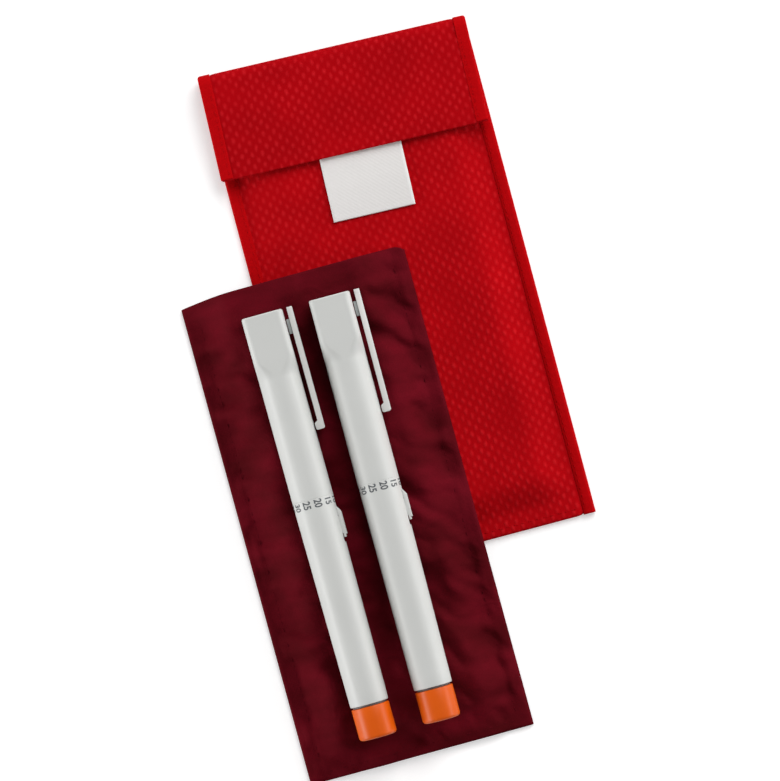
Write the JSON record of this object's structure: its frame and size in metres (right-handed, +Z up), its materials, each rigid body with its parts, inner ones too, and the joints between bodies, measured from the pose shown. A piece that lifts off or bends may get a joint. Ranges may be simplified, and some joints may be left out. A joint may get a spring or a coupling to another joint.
{
  "type": "insulin cooling case",
  "caption": "Flapped cloth wallet with a crystal-filled inner pouch laid over it and capped injection pens on top, opened out for use.",
  "frame": {"origin": "middle of the wallet's back panel, on the surface that it lies on", "axes": "+X across the wallet towards the side away from the pouch, +Y towards the wallet's flap, +Z up"},
  "size_m": [0.1289, 0.2636, 0.0292],
  "materials": {
    "red_cloth": "matte dobby weave with small paler grains",
    "red_tape": "plain woven tape",
    "patch": "hook and loop pile",
    "label": "smooth woven satin, blank",
    "maroon_cloth": "fine plain weave, creased",
    "crystal_pad": "lining filled with crystals",
    "pen_shell": "satin",
    "grey_plastic": "satin",
    "selector": "semi-gloss",
    "clear_holder": "clear",
    "cartridge_glass": "clear",
    "crimp_metal": "bright",
    "spring_steel": "drawn wire",
    "rubber": "matte"
  },
  "bodies": {
    "wallet": {"wallet_back_panel": "red_cloth", "wallet_front_panel": "red_cloth", "wallet_left_tape": "red_tape", "wallet_right_tape": "red_tape", "wallet_bottom_fold": "red_cloth", "wallet_mouth_hem": "red_tape", "wallet_loop_patch": "patch"},
    "flap": {"flap_fold": "red_cloth", "flap_panel": "red_cloth", "flap_left_tape": "red_tape", "flap_right_tape": "red_tape", "flap_hem": "red_cloth", "flap_hook_patch": "patch", "flap_label_tab": "label"},
    "pouch": {"pouch_back_sheet": "maroon_cloth", "pouch_front_sheet": "maroon_cloth", "pouch_back_crystal_pad": "crystal_pad", "pouch_front_crystal_pad": "crystal_pad", "pouch_back_mouth_hem": "maroon_cloth", "pouch_front_mouth_hem": "maroon_cloth"},
    "left_pen": {"left_pen_barrel": "pen_shell", "left_pen_cartridge_holder": "clear_holder", "left_pen_cartridge": "cartridge_glass", "left_pen_cartridge_crimp": "crimp_metal", "left_pen_guide_nut": "grey_plastic", "left_pen_drive_spring": "spring_steel"},
    "left_cap": {"left_pen_cap": "pen_shell"},
    "left_clip": {"left_pen_clip": "pen_shell"},
    "left_release": {"left_pen_release_slider": "pen_shell"},
    "left_piston": {"left_pen_piston_rod": "grey_plastic", "left_pen_plunger": "rubber"},
    "left_dial": {"left_pen_selector_collar": "grey_plastic", "left_pen_dose_selector": "selector"},
    "right_pen": {"right_pen_barrel": "pen_shell", "right_pen_cartridge_holder": "clear_holder", "right_pen_cartridge": "cartridge_glass", "right_pen_cartridge_crimp": "crimp_metal", "right_pen_guide_nut": "grey_plastic", "right_pen_drive_spring": "spring_steel"},
    "right_cap": {"right_pen_cap": "pen_shell"},
    "right_clip": {"right_pen_clip": "pen_shell"},
    "right_release": {"right_pen_release_slider": "pen_shell"},
    "right_piston": {"right_pen_piston_rod": "grey_plastic", "right_pen_plunger": "rubber"},
    "right_dial": {"right_pen_selector_collar": "grey_plastic", "right_pen_dose_selector": "selector"}
  },
  "joints": [
    {"name": "flap_hinge", "type": "hinge", "parent": "wallet", "child": "flap", "pos_m": [0, 0.0925, 0.004], "axis": [-0.9995, 0.0314, 0], "range_deg": [0, 170], "deforming": ["flap_fold"]},
    {"name": "pouch_lift", "type": "slide", "parent": "wallet", "child": "pouch", "axis": [0, 0, 1], "range_m": [0, 0.08]},
    {"name": "left_pen_lift", "type": "slide", "parent": "pouch", "child": "left_pen", "axis": [0, 0, 1], "range_m": [0, 0.06]},
    {"name": "left_cap_pull", "type": "slide", "parent": "left_pen", "child": "left_cap", "axis": [-0.0099, 1, 0], "range_m": [0, 0.065]},
    {"name": "left_clip_flex", "type": "hinge", "parent": "left_cap", "child": "left_clip", "pos_m": [-0.04163, 0.00013, 0.0215], "axis": [0, 0, 1], "range_deg": [0, 4], "stiffness_Nm_per_rad": 0.5},
    {"name": "left_release_slide", "type": "slide", "parent": "left_pen", "child": "left_release", "axis": [0.0099, -1, 0], "range_m": [0, 0.003], "stiffness_N_per_m": 200},
    {"name": "left_piston_feed", "type": "slide", "parent": "left_pen", "child": "left_piston", "axis": [-0.0099, 1, 0], "range_m": [0, 0.04]},
    {"name": "left_dose_turn", "type": "hinge", "parent": "left_pen", "child": "left_dial", "pos_m": [-0.04821, -0.14289, 0.0215], "axis": [-0.0099, 1, 0], "range_deg": [0, 300]},
    {"name": "right_pen_lift", "type": "slide", "parent": "pouch", "child": "right_pen", "axis": [0, 0, 1], "range_m": [0, 0.06]},
    {"name": "right_cap_pull", "type": "slide", "parent": "right_pen", "child": "right_cap", "axis": [-0.0009, 1, 0], "range_m": [0, 0.065]},
    {"name": "right_clip_flex", "type": "hinge", "parent": "right_cap", "child": "right_clip", "pos_m": [-0.01614, 0.00016, 0.0215], "axis": [0, 0, 1], "range_deg": [0, 4], "stiffness_Nm_per_rad": 0.5},
    {"name": "right_release_slide", "type": "slide", "parent": "right_pen", "child": "right_release", "axis": [0.0009, -1, 0], "range_m": [0, 0.003], "stiffness_N_per_m": 200},
    {"name": "right_piston_feed", "type": "slide", "parent": "right_pen", "child": "right_piston", "axis": [-0.0009, 1, 0], "range_m": [0, 0.04]},
    {"name": "right_dose_turn", "type": "hinge", "parent": "right_pen", "child": "right_dial", "pos_m": [-0.02402, -0.1428, 0.0215], "axis": [-0.0009, 1, 0], "range_deg": [0, 300]}
  ]
}
